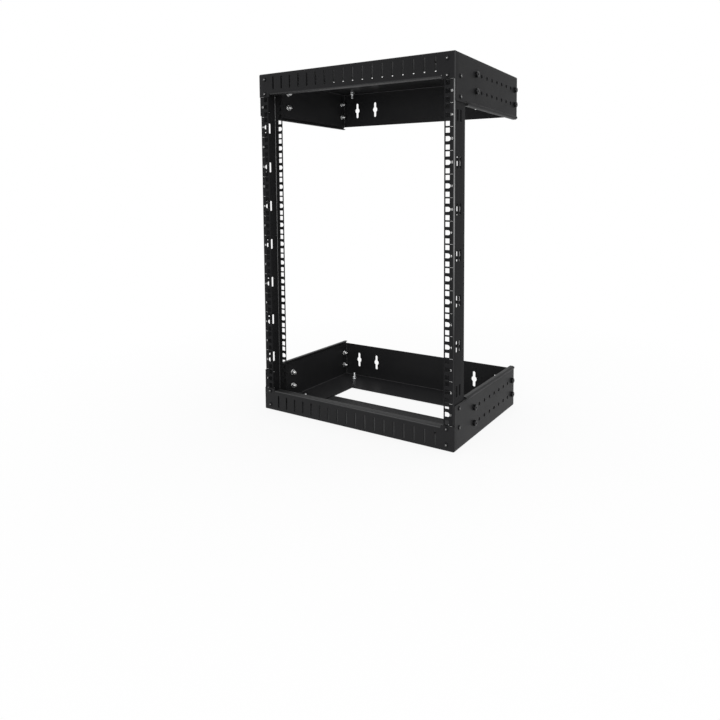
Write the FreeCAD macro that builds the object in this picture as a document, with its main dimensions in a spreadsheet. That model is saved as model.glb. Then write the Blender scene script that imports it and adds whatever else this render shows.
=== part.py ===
import FreeCAD, Part

import os
import re

# Open frame rack: two rails stand between a bottom and a top tray of folded sheet steel.
# Each tray is a front frame and a rear frame that slide into each other and are bolted
# through two rows of holes, which sets the depth. The trays are mirror images.
# X runs to the right, Y to the back (the wall side) and Z up. The part stands on Z = 0.

doc = FreeCAD.newDocument("OpenFrameRack")
sheet = doc.addObject("Spreadsheet::Sheet", "Sizes")

# Driving dimensions, in millimetres
SIZES = [
    # rack pitch and the rails' hole pattern
    ("unit_height", 44.45),
    ("unit_count", 15),
    ("hole_low", 6.35),
    ("hole_middle", 22.225),
    ("hole_high", 38.1),
    ("column_spacing", 465.1),
    ("square_hole", 9.5),
    ("clear_width", 450.85),
    ("lobe_offset", 1.6),
    # sheet steel and its bends
    ("gauge", 2.0),
    ("bend_radius", 1.0),
    ("relief_width", 3.0),
    # trays
    ("frame_width", 500.0),
    ("frame_depth", 304.8),
    ("beam_height", 51.0),
    ("lip_height", 46.5),
    ("lip_depth", 16.0),
    ("lip_width", 438.0),
    ("front_floor_depth", 142.0),
    ("rear_floor_depth", 93.0),
    ("side_floor_width", 88.0),
    ("arm_front_height", 92.0),
    ("arm_height", 94.5),
    ("arm_step", 47.0),
    ("hem_width", 10.0),
    ("hem_front", 51.0),
    ("hem_end_gap", 4.0),
    ("wall_plate_height", 88.9),
    ("inner_arm_front", 64.0),
    # slots in the front beam
    ("slot_count", 18),
    ("slot_pitch", 24.4),
    ("slot_width", 4.0),
    ("slot_length", 29.0),
    ("slot_centre", 21.7),
    # rows of depth holes in the arms
    ("depth_hole_count", 9),
    ("depth_hole_pitch", 25.4),
    ("depth_hole_margin", 12.5),
    ("depth_row_outer", 30.0),
    ("depth_row_inner", 63.0),
    ("bolt_hole", 7.4),
    # keyholes in the wall plates
    ("keyhole_outer_spacing", 406.4),
    ("keyhole_inner_spacing", 292.0),
    ("keyhole_centre", 47.5),
    ("keyhole_bore", 14.0),
    ("keyhole_slot", 7.0),
    ("keyhole_length", 38.0),
    # rails
    ("rail_depth", 45.0),
    ("web_slot_width", 6.5),
    ("web_slot_length", 22.4),
    ("web_slot_front", 12.0),
    ("web_slot_rear", 25.4),
    # depth bolts, nuts and washers
    ("bolt_diameter", 6.0),
    ("bolt_length", 16.0),
    ("bolt_head_diameter", 12.4),
    ("bolt_head_height", 4.0),
    ("nut_across", 11.5),
    ("nut_height", 5.0),
    ("washer_diameter", 13.0),
    ("washer_thickness", 1.2),
    ("washer_bore", 6.4),
    # countersunk screws through the tray floors
    ("floor_screw_spacing", 396.0),
    ("floor_screw_rear", 31.0),
    ("floor_screw_front", 80.0),
    ("floor_screw_length", 20.0),
    ("countersink_diameter", 12.0),
    ("countersink_depth", 3.0),
    ("countersink_gap", 0.2),
    # pan head screws in the beams and at the front of the arms
    ("pan_hole", 5.5),
    ("pan_screw_diameter", 5.0),
    ("pan_screw_length", 8.0),
    ("pan_head_diameter", 9.0),
    ("pan_head_height", 2.0),
    ("arm_screw_back", 22.0),
    ("arm_screw_outer", 44.0),
    ("arm_screw_inner", 82.5),
]
for row, (alias, number) in enumerate(SIZES, start=1):
    sheet.set("A%d" % row, str(number))
    sheet.setAlias("A%d" % row, alias)
doc.recompute()
ALIASES = sorted((alias for alias, number in SIZES), key=len, reverse=True)
WORD = re.compile(r"\b(%s)\b" % "|".join(ALIASES))


def size(alias):
    """The number in one cell of the sheet."""
    return float(getattr(sheet, alias))


def bind(item, name, rule):
    """Tie one property to a rule written with the sheet's aliases."""
    item.setExpression(name, WORD.sub(r"Sizes.\1", rule))


# Places that follow from the driving dimensions
TOTAL_HEIGHT = "(2 * beam_height + unit_count * unit_height)"
FACE = "((pan_head_height - frame_depth) / 2)"
HALF_WIDTH = "(frame_width / 2)"
HALF_COLUMNS = "(column_spacing / 2)"
REAR_HOLE = "(frame_depth - depth_hole_margin)"
FRONT_HOLE = "(frame_depth - depth_hole_margin - (depth_hole_count - 1) * depth_hole_pitch)"
OUTER_BEND = "(bend_radius + gauge)"
REAR_EDGE = "frame_depth"


def back(distance):
    """A place in Y at a distance behind the beams' front face."""
    return "(%s + (%s))" % (FACE, distance)


def rise(tray, distance):
    """A height at a distance inwards from the outer face of the bottom or the top tray."""
    return "(%s)" % distance if tray == "bottom" else "(%s - (%s))" % (TOTAL_HEIGHT, distance)


def span(tray, near, far):
    """The low and the high end in Z of a stretch inside a tray."""
    ends = (rise(tray, near), rise(tray, far))
    return ends if tray == "bottom" else ends[::-1]


def block(body, kind, name, low, high):
    """A box feature in a body, between two corners that are three rules each."""
    feature = body.newObject("PartDesign::%sBox" % kind, name)
    for axis, side, start, end in zip("xyz", ("Length", "Width", "Height"), low, high):
        bind(feature, side, "(%s) - (%s)" % (end, start))
        bind(feature, ".Placement.Base." + axis, start)
    return feature


TURNS = {
    "+X": FreeCAD.Rotation(FreeCAD.Vector(0, 1, 0), 90),
    "-X": FreeCAD.Rotation(FreeCAD.Vector(0, 1, 0), -90),
    "+Y": FreeCAD.Rotation(FreeCAD.Vector(1, 0, 0), -90),
    "-Y": FreeCAD.Rotation(FreeCAD.Vector(1, 0, 0), 90),
    "+Z": FreeCAD.Rotation(),
    "-Z": FreeCAD.Rotation(FreeCAD.Vector(1, 0, 0), 180),
}


def aim(item, start, direction):
    """Put an item's own Z axis at a start point, along one of the six directions."""
    item.Placement = FreeCAD.Placement(FreeCAD.Vector(), TURNS[direction])
    for axis, place in zip("xyz", start):
        bind(item, ".Placement.Base." + axis, place)
    return item


def drill(body, name, start, direction, diameter, length):
    """A round hole in a body, from a start point along a direction."""
    feature = body.newObject("PartDesign::SubtractiveCylinder", name)
    bind(feature, "Radius", "(%s) / 2" % diameter)
    bind(feature, "Height", length)
    return aim(feature, start, direction)


def repeat(body, features, name, axis, count, pitch):
    """A row of the same features along a body's own axis."""
    pattern = body.newObject("PartDesign::LinearPattern", name)
    pattern.Originals = features
    line = [item for item in body.Origin.OriginFeatures if item.Role == axis + "_Axis"][0]
    pattern.Direction = (line, [""])
    bind(pattern, "Occurrences", count)
    bind(pattern, "Length", "((%s) - 1) * (%s)" % (count, pitch))
    body.Tip = pattern
    return pattern


def new_body(name):
    body = doc.addObject("PartDesign::Body", name)
    body.Label = name
    return body


def round_edges(body, name, radius, wanted):
    """Round the edges of a body that the test picks by middle point and direction."""
    doc.recompute()
    base = body.Tip
    names = []
    for number, edge in enumerate(base.Shape.Edges, start=1):
        middle = edge.valueAt((edge.FirstParameter + edge.LastParameter) / 2)
        if wanted(middle, edge.tangentAt(edge.FirstParameter)):
            names.append("Edge%d" % number)
    fillet = body.newObject("PartDesign::Fillet", name)
    fillet.Base = (base, names)
    bind(fillet, "Radius", radius)
    body.Tip = fillet
    return fillet


def near(one, other):
    return abs(one - other) < 0.01


# Numbers used only to find the edges that are bends
front_y = (size("pan_head_height") - size("frame_depth")) / 2
half_width = size("frame_width") / 2
total_height = 2 * size("beam_height") + size("unit_count") * size("unit_height")


def inward(tray, z):
    """How far a height is inwards from the tray's outer face."""
    return z if tray == "bottom" else total_height - z


def side_strip(side, near_edge, far_edge):
    """The low and the high end in X of a stretch on the left or the right side."""
    if side == "right":
        return (near_edge, far_edge)
    return ("-(%s)" % far_edge, "-(%s)" % near_edge)


SIDES = ("left", "right")
TRAYS = ("bottom", "top")


def front_frame(tray):
    """One folded sheet: slotted beam with its lip, floor with side strips, and two arms."""
    body = new_body(tray + "_front_frame")

    def slab(name, x, y, near_u, far_u, kind="Additive"):
        z = span(tray, near_u, far_u)
        corners = ((x[0], back(y[0]), z[0]), (x[1], back(y[1]), z[1]))
        return block(body, kind, tray + "_front_" + name, *corners)

    whole = ("-" + HALF_WIDTH, HALF_WIDTH)
    slab("floor", whole, ("0", "front_floor_depth"), "0", "gauge")
    slab("beam", whole, ("0", "gauge"), "0", "lip_height")
    slab("lip", ("-lip_width / 2", "lip_width / 2"), ("0", "lip_depth"),
         "lip_height - gauge", "lip_height")
    for side in SIDES:
        wall = side_strip(side, HALF_WIDTH + " - gauge", HALF_WIDTH)
        strip = side_strip(side, HALF_WIDTH + " - side_floor_width", HALF_WIDTH)
        hem = side_strip(side, HALF_WIDTH + " - hem_width", HALF_WIDTH)
        slab(side + "_strip", strip, ("0", REAR_EDGE), "0", "gauge")
        slab(side + "_arm", wall, ("0", REAR_EDGE), "0", "beam_height")
        tab = side_strip(side, "lip_width / 2 + relief_width", HALF_WIDTH)
        slab(side + "_tab", tab, ("0", "gauge"), "0", "beam_height")
        slab(side + "_arm_front", wall, (OUTER_BEND, "arm_step"), "0", "arm_front_height")
        slab(side + "_arm_rear", wall, ("arm_step", REAR_EDGE), "0", "arm_height")
        slab(side + "_hem", hem, ("hem_front", "frame_depth - hem_end_gap"),
             "arm_height - gauge", "arm_height")
        notch = side_strip(side, HALF_WIDTH + " - hem_width", HALF_WIDTH + " + gauge")
        slab(side + "_front_relief", notch, ("arm_step", "hem_front"),
             "arm_height - relief_width", "arm_height + gauge", "Subtractive")
        slab(side + "_rear_relief", notch, ("frame_depth - hem_end_gap", "frame_depth + gauge"),
             "arm_height - relief_width", "arm_height + gauge", "Subtractive")
        gap = side_strip(side, "lip_width / 2", "lip_width / 2 + relief_width")
        last = slab(side + "_lip_relief", gap, ("-gauge", "lip_depth"),
                    "lip_height - relief_width", "lip_height + gauge", "Subtractive")
    body.Tip = last

    def outer_bend(middle, line):
        u = inward(tray, middle.z)
        at_side = near(abs(middle.x), half_width)
        at_front = near(middle.y, front_y)
        if near(abs(line.x), 1):
            beam_bottom = at_front and near(u, 0)
            lip_bend = at_front and near(u, size("lip_height")) and near(middle.x, 0)
            return beam_bottom or lip_bend
        if near(abs(line.y), 1):
            hem_bend = near(u, size("arm_height")) and middle.y > front_y + size("hem_front")
            return at_side and (near(u, 0) or hem_bend)
        return at_side and at_front
    round_edges(body, tray + "_front_bends", OUTER_BEND, outer_bend)

    z = span(tray, "slot_centre - slot_length / 2", "slot_centre + slot_length / 2")
    first = "-(slot_count - 1) * slot_pitch / 2"
    slot = block(body, "Subtractive", tray + "_beam_slot",
                 (first + " - slot_width / 2", back("-gauge"), z[0]),
                 (first + " + slot_width / 2", back("2 * gauge"), z[1]))
    repeat(body, [slot], tray + "_beam_slots", "X", "slot_count", "slot_pitch")
    for side in SIDES:
        column = HALF_COLUMNS if side == "right" else "-" + HALF_COLUMNS
        for place in ("hole_low", "hole_high"):
            name = "%s_beam_%s_%s" % (tray, side, place)
            start = (column, back("-gauge"), rise(tray, "beam_height - " + place))
            drill(body, name, start, "+Y", "pan_hole", "3 * gauge")
        for place in ("arm_screw_outer", "arm_screw_inner"):
            wall = side_strip(side, HALF_WIDTH + " - 2 * gauge", HALF_WIDTH + " + gauge")
            start = (wall[0], back("arm_screw_back"), rise(tray, place))
            drill(body, "%s_%s_%s" % (tray, side, place), start, "+X", "pan_hole", "3 * gauge")
    depth_holes(body, tray)
    for side in SIDES:
        sign = "" if side == "right" else "-"
        for end, distance in FLOOR_SCREWS:
            start = (sign + "floor_screw_spacing / 2", back(distance), rise(tray, "0"))
            name = "%s_%s_%s_screw_hole" % (tray, side, end)
            inwards = "+Z" if tray == "bottom" else "-Z"
            drill(body, name, start, inwards, "bolt_hole", "2 * gauge")
            sink = body.newObject("PartDesign::SubtractiveCone", name + "_sink")
            bind(sink, "Radius1", "countersink_diameter / 2 + countersink_gap")
            bind(sink, "Radius2", "bolt_diameter / 2 + countersink_gap")
            bind(sink, "Height", "countersink_depth")
            aim(sink, start, inwards)
    body.Tip = sink
    return body


FLOOR_SCREWS = (("front", "floor_screw_front"), ("rear", "frame_depth - floor_screw_rear"))


def depth_holes(body, tray):
    """Two rows of holes through both arms of a frame, at the depth hole pitch."""
    for place in ("depth_row_outer", "depth_row_inner"):
        start = ("-" + HALF_WIDTH + " - gauge", back(FRONT_HOLE), rise(tray, place))
        name = "%s_%s" % (body.Label, place)
        hole = drill(body, name, start, "+X", "bolt_hole", "frame_width + 2 * gauge")
        repeat(body, [hole], name + "s", "Y", "depth_hole_count", "depth_hole_pitch")


def bolt_holes(body, tray):
    """The holes through both arms of a rear frame, only where the depth bolts are."""
    for place in ("depth_row_outer", "depth_row_inner"):
        for end, distance in (("front", FRONT_HOLE), ("rear", REAR_HOLE)):
            start = ("-" + HALF_WIDTH + " - gauge", back(distance), rise(tray, place))
            name = "%s_%s_%s" % (body.Label, place, end)
            drill(body, name, start, "+X", "bolt_hole", "frame_width + 2 * gauge")


def rear_frame(tray):
    """One folded sheet inside the front frame: wall plate, floor and two inner arms."""
    body = new_body(tray + "_rear_frame")
    inner_half = HALF_WIDTH + " - gauge"

    def slab(name, x, y, near_u, far_u):
        z = span(tray, near_u, far_u)
        corners = ((x[0], back(y[0]), z[0]), (x[1], back(y[1]), z[1]))
        return block(body, "Additive", tray + "_rear_" + name, *corners)

    whole = ("-(%s)" % inner_half, inner_half)
    slab("floor", whole, ("frame_depth - rear_floor_depth", REAR_EDGE), "gauge", "2 * gauge")
    slab("plate", whole, ("frame_depth - gauge", REAR_EDGE), "gauge", "wall_plate_height")
    for side in SIDES:
        strip = side_strip(side, HALF_WIDTH + " - side_floor_width", inner_half)
        wall = side_strip(side, HALF_WIDTH + " - 2 * gauge", inner_half)
        slab(side + "_strip", strip, ("inner_arm_front", REAR_EDGE), "gauge", "2 * gauge")
        last = slab(side + "_arm", wall, ("inner_arm_front", REAR_EDGE), "gauge",
                    "wall_plate_height")
    body.Tip = last

    def outer_bend(middle, line):
        u = inward(tray, middle.z)
        at_side = near(abs(middle.x), half_width - size("gauge"))
        at_back = near(middle.y, front_y + size("frame_depth"))
        at_floor = near(u, size("gauge"))
        if near(abs(line.x), 1):
            return at_back and at_floor
        if near(abs(line.y), 1):
            return at_side and at_floor
        return at_side and at_back
    round_edges(body, tray + "_rear_bends", OUTER_BEND, outer_bend)

    bolt_holes(body, tray)
    for sign in ("", "-"):
        for spacing in ("keyhole_outer_spacing", "keyhole_inner_spacing"):
            x = "%s%s / 2" % (sign, spacing)
            name = tray + "_rear_" + spacing + ("_left" if sign else "_right")
            start = (x, back("frame_depth - 2 * gauge"), rise(tray, "keyhole_centre"))
            drill(body, name, start, "+Y", "keyhole_bore", "3 * gauge")
            z = span(tray, "keyhole_centre - keyhole_length / 2",
                     "keyhole_centre + keyhole_length / 2")
            block(body, "Subtractive", name + "_slot",
                  (x + " - keyhole_slot / 2", back("frame_depth - 2 * gauge"), z[0]),
                  (x + " + keyhole_slot / 2", back("frame_depth + gauge"), z[1]))
        for end, distance in FLOOR_SCREWS:
            start = (sign + "floor_screw_spacing / 2", back(distance), rise(tray, "gauge"))
            inwards = "+Z" if tray == "bottom" else "-Z"
            name = "%s_rear_%s_screw_hole_%s" % (tray, end, "left" if sign else "right")
            last = drill(body, name, start, inwards, "bolt_hole", "2 * gauge")
    body.Tip = last
    return body


# A rail is one sheet folded to a C. Its flanges and its web are pieces of their own, which
# meet beside the bends.
RAIL_OUTER = "(frame_width / 2 - gauge)"
RAIL_SEAM = "(frame_width / 2 - 2 * gauge - 2 * bend_radius)"


def rail_block(body, kind, name, side, x, y, z):
    """A box feature of a rail, from its distances to the middle of the rack in X."""
    x = side_strip(side, *x)
    return block(body, kind, name, (x[0], back(y[0]), z[0]), (x[1], back(y[1]), z[1]))


def rail_flange(side, end):
    """A flange with three square holes in each unit, the middle one with a round lobe."""
    body = new_body("%s_rail_%s_flange" % (side, end))
    stem = "%s_rail_%s_" % (side, end)
    near_y = "gauge" if end == "front" else "rail_depth"
    y = (near_y, near_y + " + gauge")
    last = rail_block(body, "Additive", stem + "plate", side, ("clear_width / 2", RAIL_SEAM), y,
                      ("gauge", TOTAL_HEIGHT + " - gauge"))
    through = (near_y + " - gauge", near_y + " + 2 * gauge")
    sign = "" if side == "right" else "-"
    for place in ("hole_low", "hole_middle", "hole_high"):
        low = HALF_COLUMNS + " - square_hole / 2"
        high = HALF_COLUMNS + " + square_hole / 2"
        lobe = HALF_COLUMNS + (" + " if end == "front" else " - ") + "lobe_offset"
        if place == "hole_middle" and end == "front":
            high = lobe
        if place == "hole_middle" and end == "rear":
            low = lobe
        z = ("beam_height + %s - square_hole / 2" % place,
             "beam_height + %s + square_hole / 2" % place)
        hole = rail_block(body, "Subtractive", stem + place, side, (low, high), through, z)
        last = repeat(body, [hole], stem + place + "s", "Z", "unit_count", "unit_height")
        if place == "hole_middle":
            start = ("%s(%s)" % (sign, lobe), back(through[0]), "beam_height + " + place)
            hole = drill(body, stem + "lobe", start, "+Y", "square_hole", "3 * gauge")
            last = repeat(body, [hole], stem + "lobes", "Z", "unit_count", "unit_height")
    if end == "front":
        for tray in TRAYS:
            for place in ("hole_low", "hole_high"):
                start = (sign + HALF_COLUMNS, back(through[0]),
                         rise(tray, "beam_height - " + place))
                last = drill(body, stem + "%s_%s_screw" % (tray, place), start, "+Y",
                             "pan_hole", "3 * gauge")
    body.Tip = last


def rail_web(side):
    """The web and the bends of a rail, with upright slots and the holes for the arm screws."""
    body = new_body(side + "_rail_web")
    stem = side + "_rail_web_"
    z = ("gauge", TOTAL_HEIGHT + " - gauge")
    depth = ("gauge", "gauge + rail_depth")
    rail_block(body, "Additive", stem + "plate", side, (RAIL_OUTER + " - gauge", RAIL_OUTER),
               depth, z)
    rail_block(body, "Additive", stem + "front_leg", side, (RAIL_SEAM, RAIL_OUTER),
               ("gauge", "2 * gauge"), z)
    body.Tip = rail_block(body, "Additive", stem + "rear_leg", side, (RAIL_SEAM, RAIL_OUTER),
                          ("rail_depth", "gauge + rail_depth"), z)

    def outer_bend(middle, line):
        return near(abs(middle.x), half_width - size("gauge")) and near(abs(line.z), 1)
    round_edges(body, stem + "bends", OUTER_BEND, outer_bend)

    # a pair of slots at the middle of every second unit
    through = (RAIL_OUTER + " - 2 * gauge", RAIL_OUTER + " + gauge")
    for place in ("web_slot_front", "web_slot_rear"):
        height = ("beam_height + 1.5 * unit_height - web_slot_length / 2",
                  "beam_height + 1.5 * unit_height + web_slot_length / 2")
        y = ("gauge + %s - web_slot_width / 2" % place, "gauge + %s + web_slot_width / 2" % place)
        slot = rail_block(body, "Subtractive", stem + place, side, through, y, height)
        repeat(body, [slot], stem + place + "s", "Z", "floor(unit_count / 2)", "2 * unit_height")
    for tray in TRAYS:
        for place in ("arm_screw_outer", "arm_screw_inner"):
            wall = side_strip(side, *through)
            start = (wall[0], back("arm_screw_back"), rise(tray, place))
            last = drill(body, stem + "%s_%s" % (tray, place), start, "+X", "pan_hole",
                         "3 * gauge")
    body.Tip = last


def rod(kind, name, start, direction, length, across):
    """A cylinder or a hexagon from a start point along a direction."""
    item = doc.addObject("Part::" + kind, name)
    bind(item, "Height", length)
    if kind == "Prism":
        item.Polygon = 6
        bind(item, "Circumradius", "(%s) / 2" % across)
    else:
        bind(item, "Radius", "(%s) / 2" % across)
    return aim(item, start, direction)


def joined(name, items):
    fuse = doc.addObject("Part::MultiFuse", name)
    fuse.Shapes = items
    return fuse


def ring(kind, name, start, direction, length, across, bore):
    """A washer or a nut: a disc or a hexagon with a bore."""
    cut = doc.addObject("Part::Cut", name)
    cut.Base = rod(kind, name + "_body", start, direction, length, across)
    cut.Tool = rod("Cylinder", name + "_bore", start, direction, length, bore)
    return cut


def group(name, items):
    """Several like pieces that don't touch, kept in one node."""
    compound = doc.addObject("Part::Compound", name + "_group")
    compound.Links = items
    compound.Label = name
    return compound


def depth_fasteners(tray, side):
    """Two bolts at the front and two at the back of one arm, with washers and nuts inside."""
    bolts = []
    washers = []
    nuts = []
    sign = "" if side == "right" else "-"
    inwards, outwards = ("-X", "+X") if side == "right" else ("+X", "-X")
    stem = "%s_%s_depth" % (tray, side)
    for end, distance in (("front", FRONT_HOLE), ("rear", REAR_HOLE)):
        for row_name in ("depth_row_outer", "depth_row_inner"):
            name = "%s_%s_%s" % (stem, end, row_name)

            def at(x):
                return ("%s(%s)" % (sign, x), back(distance), rise(tray, row_name))
            under_head = HALF_WIDTH + " + washer_thickness"
            inside = HALF_WIDTH + " - 2 * gauge"
            head = rod("Cylinder", name + "_head", at(under_head), outwards,
                       "bolt_head_height", "bolt_head_diameter")
            shank = rod("Cylinder", name + "_shank", at(under_head), inwards,
                        "bolt_length", "bolt_diameter")
            bolts.append(joined(name + "_bolt", [head, shank]))
            washers.append(ring("Cylinder", name + "_outer_washer", at(HALF_WIDTH), outwards,
                                "washer_thickness", "washer_diameter", "washer_bore"))
            washers.append(ring("Cylinder", name + "_inner_washer", at(inside), inwards,
                                "washer_thickness", "washer_diameter", "washer_bore"))
            nuts.append(ring("Prism", name + "_nut", at(inside + " - washer_thickness"), inwards,
                             "nut_height", "nut_across", "bolt_diameter"))
    group(stem + "_bolts", bolts)
    group(stem + "_washers", washers)
    group(stem + "_nuts", nuts)


def floor_fasteners(tray):
    """Countersunk screws, flush with the outer face, that clamp the two floors together."""
    screws = []
    nuts = []
    inwards = "+Z" if tray == "bottom" else "-Z"
    for side in SIDES:
        sign = "" if side == "right" else "-"
        for end, distance in FLOOR_SCREWS:
            name = "%s_%s_%s_floor_screw" % (tray, side, end)

            def at(u):
                return (sign + "floor_screw_spacing / 2", back(distance), rise(tray, u))
            head = doc.addObject("Part::Cone", name + "_head")
            bind(head, "Radius1", "countersink_diameter / 2")
            bind(head, "Radius2", "bolt_diameter / 2")
            bind(head, "Height", "countersink_depth")
            aim(head, at("0"), inwards)
            shank = rod("Cylinder", name + "_shank", at("countersink_depth / 2"), inwards,
                        "floor_screw_length - countersink_depth / 2", "bolt_diameter")
            screws.append(joined(name, [head, shank]))
            nuts.append(ring("Cylinder", name + "_washer", at("2 * gauge"), inwards,
                             "washer_thickness", "washer_diameter", "washer_bore"))
            nuts.append(ring("Prism", name + "_nut", at("2 * gauge + washer_thickness"), inwards,
                             "nut_height", "nut_across", "bolt_diameter"))
    group(tray + "_floor_screws", screws)
    group(tray + "_floor_nuts", nuts)


def pan_screw(name, start, direction):
    """A pan head screw whose head stands on a face and whose shank goes in."""
    opposite = {"+": "-", "-": "+"}[direction[0]] + direction[1]
    head = rod("Cylinder", name + "_head", start, opposite, "pan_head_height",
               "pan_head_diameter")
    shank = rod("Cylinder", name + "_shank", start, direction, "pan_screw_length",
                "pan_screw_diameter")
    return joined(name, [head, shank])


def pan_screws(tray):
    """The screws that hold the rails: two at each end of the beam, two in each arm."""
    beam = []
    for side in SIDES:
        sign = "" if side == "right" else "-"
        for place in ("hole_low", "hole_high"):
            start = (sign + HALF_COLUMNS, back("0"), rise(tray, "beam_height - " + place))
            beam.append(pan_screw("%s_%s_%s_beam_screw" % (tray, side, place), start, "+Y"))
    group(tray + "_beam_screws", beam)
    for side in SIDES:
        sign = "" if side == "right" else "-"
        inwards = "-X" if side == "right" else "+X"
        arm = []
        for place in ("arm_screw_outer", "arm_screw_inner"):
            start = (sign + HALF_WIDTH, back("arm_screw_back"), rise(tray, place))
            arm.append(pan_screw("%s_%s_%s_screw" % (tray, side, place), start, inwards))
        group("%s_%s_arm_screws" % (tray, side), arm)


for tray in TRAYS:
    front_frame(tray)
    rear_frame(tray)
    for side in SIDES:
        depth_fasteners(tray, side)
    floor_fasteners(tray)
    pan_screws(tray)
for side in SIDES:
    rail_flange(side, "front")
    rail_web(side)
    rail_flange(side, "rear")
doc.recompute()

# Check every object, then write one file for each piece
for item in doc.Objects:
    if "Invalid" in item.State or "Error" in item.State:
        raise RuntimeError("%s failed: %s" % (item.Label, item.State))
pieces = [item for item in doc.Objects
          if item.TypeId in ("PartDesign::Body", "Part::Compound")]
os.makedirs("parts", exist_ok=True)
for piece in pieces:
    shape = piece.Shape
    if shape.isNull() or not shape.isValid():
        raise RuntimeError("%s has no valid shape" % piece.Label)
    shape.exportStep("parts/%s.step" % piece.Label)
    box = shape.BoundBox
    print("%-30s %2d solids %10.1f mm3  X %8.2f %8.2f  Y %8.2f %8.2f  Z %8.2f %8.2f" % (
        piece.Label, len(shape.Solids), shape.Volume,
        box.XMin, box.XMax, box.YMin, box.YMax, box.ZMin, box.ZMax))
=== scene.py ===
import math

import bpy
import numpy as np
from mathutils import Matrix, Vector


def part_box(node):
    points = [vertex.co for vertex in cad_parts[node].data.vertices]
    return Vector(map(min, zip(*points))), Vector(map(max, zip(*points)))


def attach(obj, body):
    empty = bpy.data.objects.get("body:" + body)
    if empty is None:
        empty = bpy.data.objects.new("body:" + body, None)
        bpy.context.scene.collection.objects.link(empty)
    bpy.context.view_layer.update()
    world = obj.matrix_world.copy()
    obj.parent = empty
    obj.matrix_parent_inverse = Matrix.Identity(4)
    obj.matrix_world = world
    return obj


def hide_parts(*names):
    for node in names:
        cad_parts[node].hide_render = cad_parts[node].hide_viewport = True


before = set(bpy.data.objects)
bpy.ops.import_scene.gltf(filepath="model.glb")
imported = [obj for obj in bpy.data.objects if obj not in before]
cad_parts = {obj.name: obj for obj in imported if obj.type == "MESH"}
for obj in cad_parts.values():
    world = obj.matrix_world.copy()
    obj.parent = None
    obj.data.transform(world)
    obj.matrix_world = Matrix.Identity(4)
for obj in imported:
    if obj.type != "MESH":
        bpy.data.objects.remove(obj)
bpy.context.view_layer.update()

# The rack stands on a white sheet of paper. The photograph was taken from its front
# right corner, a little above the middle, with a short lens whose view is moved sideways.
PHOTO_SIDE = 720
LENS_PIXELS = 598.25
SIGHT_CENTRE = (442.58, 236.34)
TURNED, TIPPED, ROLLED = math.radians(28.843), math.radians(-4.183), math.radians(0.141)
STANDS_AT = Vector((0.77407, -1.15087, 0.50507))
SENSOR, NEAREST, FARTHEST = 36, 0.01, 100

sight = Vector((-math.sin(TURNED) * math.cos(TIPPED), math.cos(TURNED) * math.cos(TIPPED),
                math.sin(TIPPED)))
level_right = Vector((math.cos(TURNED), math.sin(TURNED), 0))
level_up = level_right.cross(sight)
right = level_right * math.cos(ROLLED) + level_up * math.sin(ROLLED)
up = right.cross(sight)
camera = bpy.data.objects.new("camera", bpy.data.cameras.new("camera"))
camera.matrix_world = Matrix((right, up, -sight)).transposed().to_4x4()
camera.location = STANDS_AT
camera.data.sensor_width = SENSOR
camera.data.lens = LENS_PIXELS / PHOTO_SIDE * SENSOR
camera.data.shift_x = (PHOTO_SIDE / 2 - SIGHT_CENTRE[0]) / PHOTO_SIDE
camera.data.shift_y = (SIGHT_CENTRE[1] - PHOTO_SIDE / 2) / PHOTO_SIDE
camera.data.clip_start, camera.data.clip_end = NEAREST, FARTHEST
bpy.context.scene.collection.objects.link(camera)
bpy.context.scene.camera = camera
bpy.context.scene.view_settings.view_transform = "Standard"

# The room round the rack is plain white to the eye, in a reflection and through glass, and
# lights the rack evenly from all sides at half that strength.
WHITE = (1, 1, 1, 1)
ROOM_LIGHT = 0.5


def larger(tree, first, second):
    """The larger one of two values."""
    greater = tree.nodes.new("ShaderNodeMath")
    greater.operation = "MAXIMUM"
    tree.links.new(first, greater.inputs[0])
    tree.links.new(second, greater.inputs[1])
    return greater.outputs[0]


def seen_white(tree, light, surface, output):
    """A rule for one surface: to the eye, in a reflection and through glass it is the plain
    light, and to every other ray it is what it is."""
    path = tree.nodes.new("ShaderNodeLightPath").outputs
    seen = larger(tree, path["Is Camera Ray"], path["Is Transmission Ray"])
    choice = tree.nodes.new("ShaderNodeMixShader")
    tree.links.new(larger(tree, seen, path["Is Glossy Ray"]), choice.inputs["Fac"])
    tree.links.new(surface, choice.inputs[1])
    tree.links.new(light, choice.inputs[2])
    tree.links.new(choice.outputs[0], output)


world = bpy.data.worlds.new("studio")
bpy.context.scene.world = world
world.use_nodes = True
room = world.node_tree.nodes["Background"]
room.inputs["Color"].default_value = WHITE
room.inputs["Strength"].default_value = ROOM_LIGHT
white_room = world.node_tree.nodes.new("ShaderNodeBackground")
white_room.inputs["Color"].default_value = WHITE
seen_white(world.node_tree, white_room.outputs[0], room.outputs[0],
           world.node_tree.nodes["World Output"].inputs["Surface"])

# The paper is white with the rack's soft shadow on it, and turns into the plain white of the
# room as it goes away from the rack. FADE holds the two distances from the middle between
# which it does so, and WHITE_SHARE the share of plain white at each of them.
PAPER_HALF, PAPER_TONE, PAPER_ROUGH, PAPER_SHINE = 9, (0.9, 0.9, 0.9, 1), 0.9, 0.1
FADE, WHITE_SHARE = (0.3, 1.1), (0.88, 1.0)


def ranged(tree, value, into, start=(0, 1)):
    """A value brought evenly from one range into another, and held inside it."""
    change = tree.nodes.new("ShaderNodeMapRange")
    for name, number in zip(("From Min", "From Max", "To Min", "To Max"), start + into):
        change.inputs[name].default_value = number
    tree.links.new(value, change.inputs["Value"])
    return change.outputs["Result"]


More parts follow.
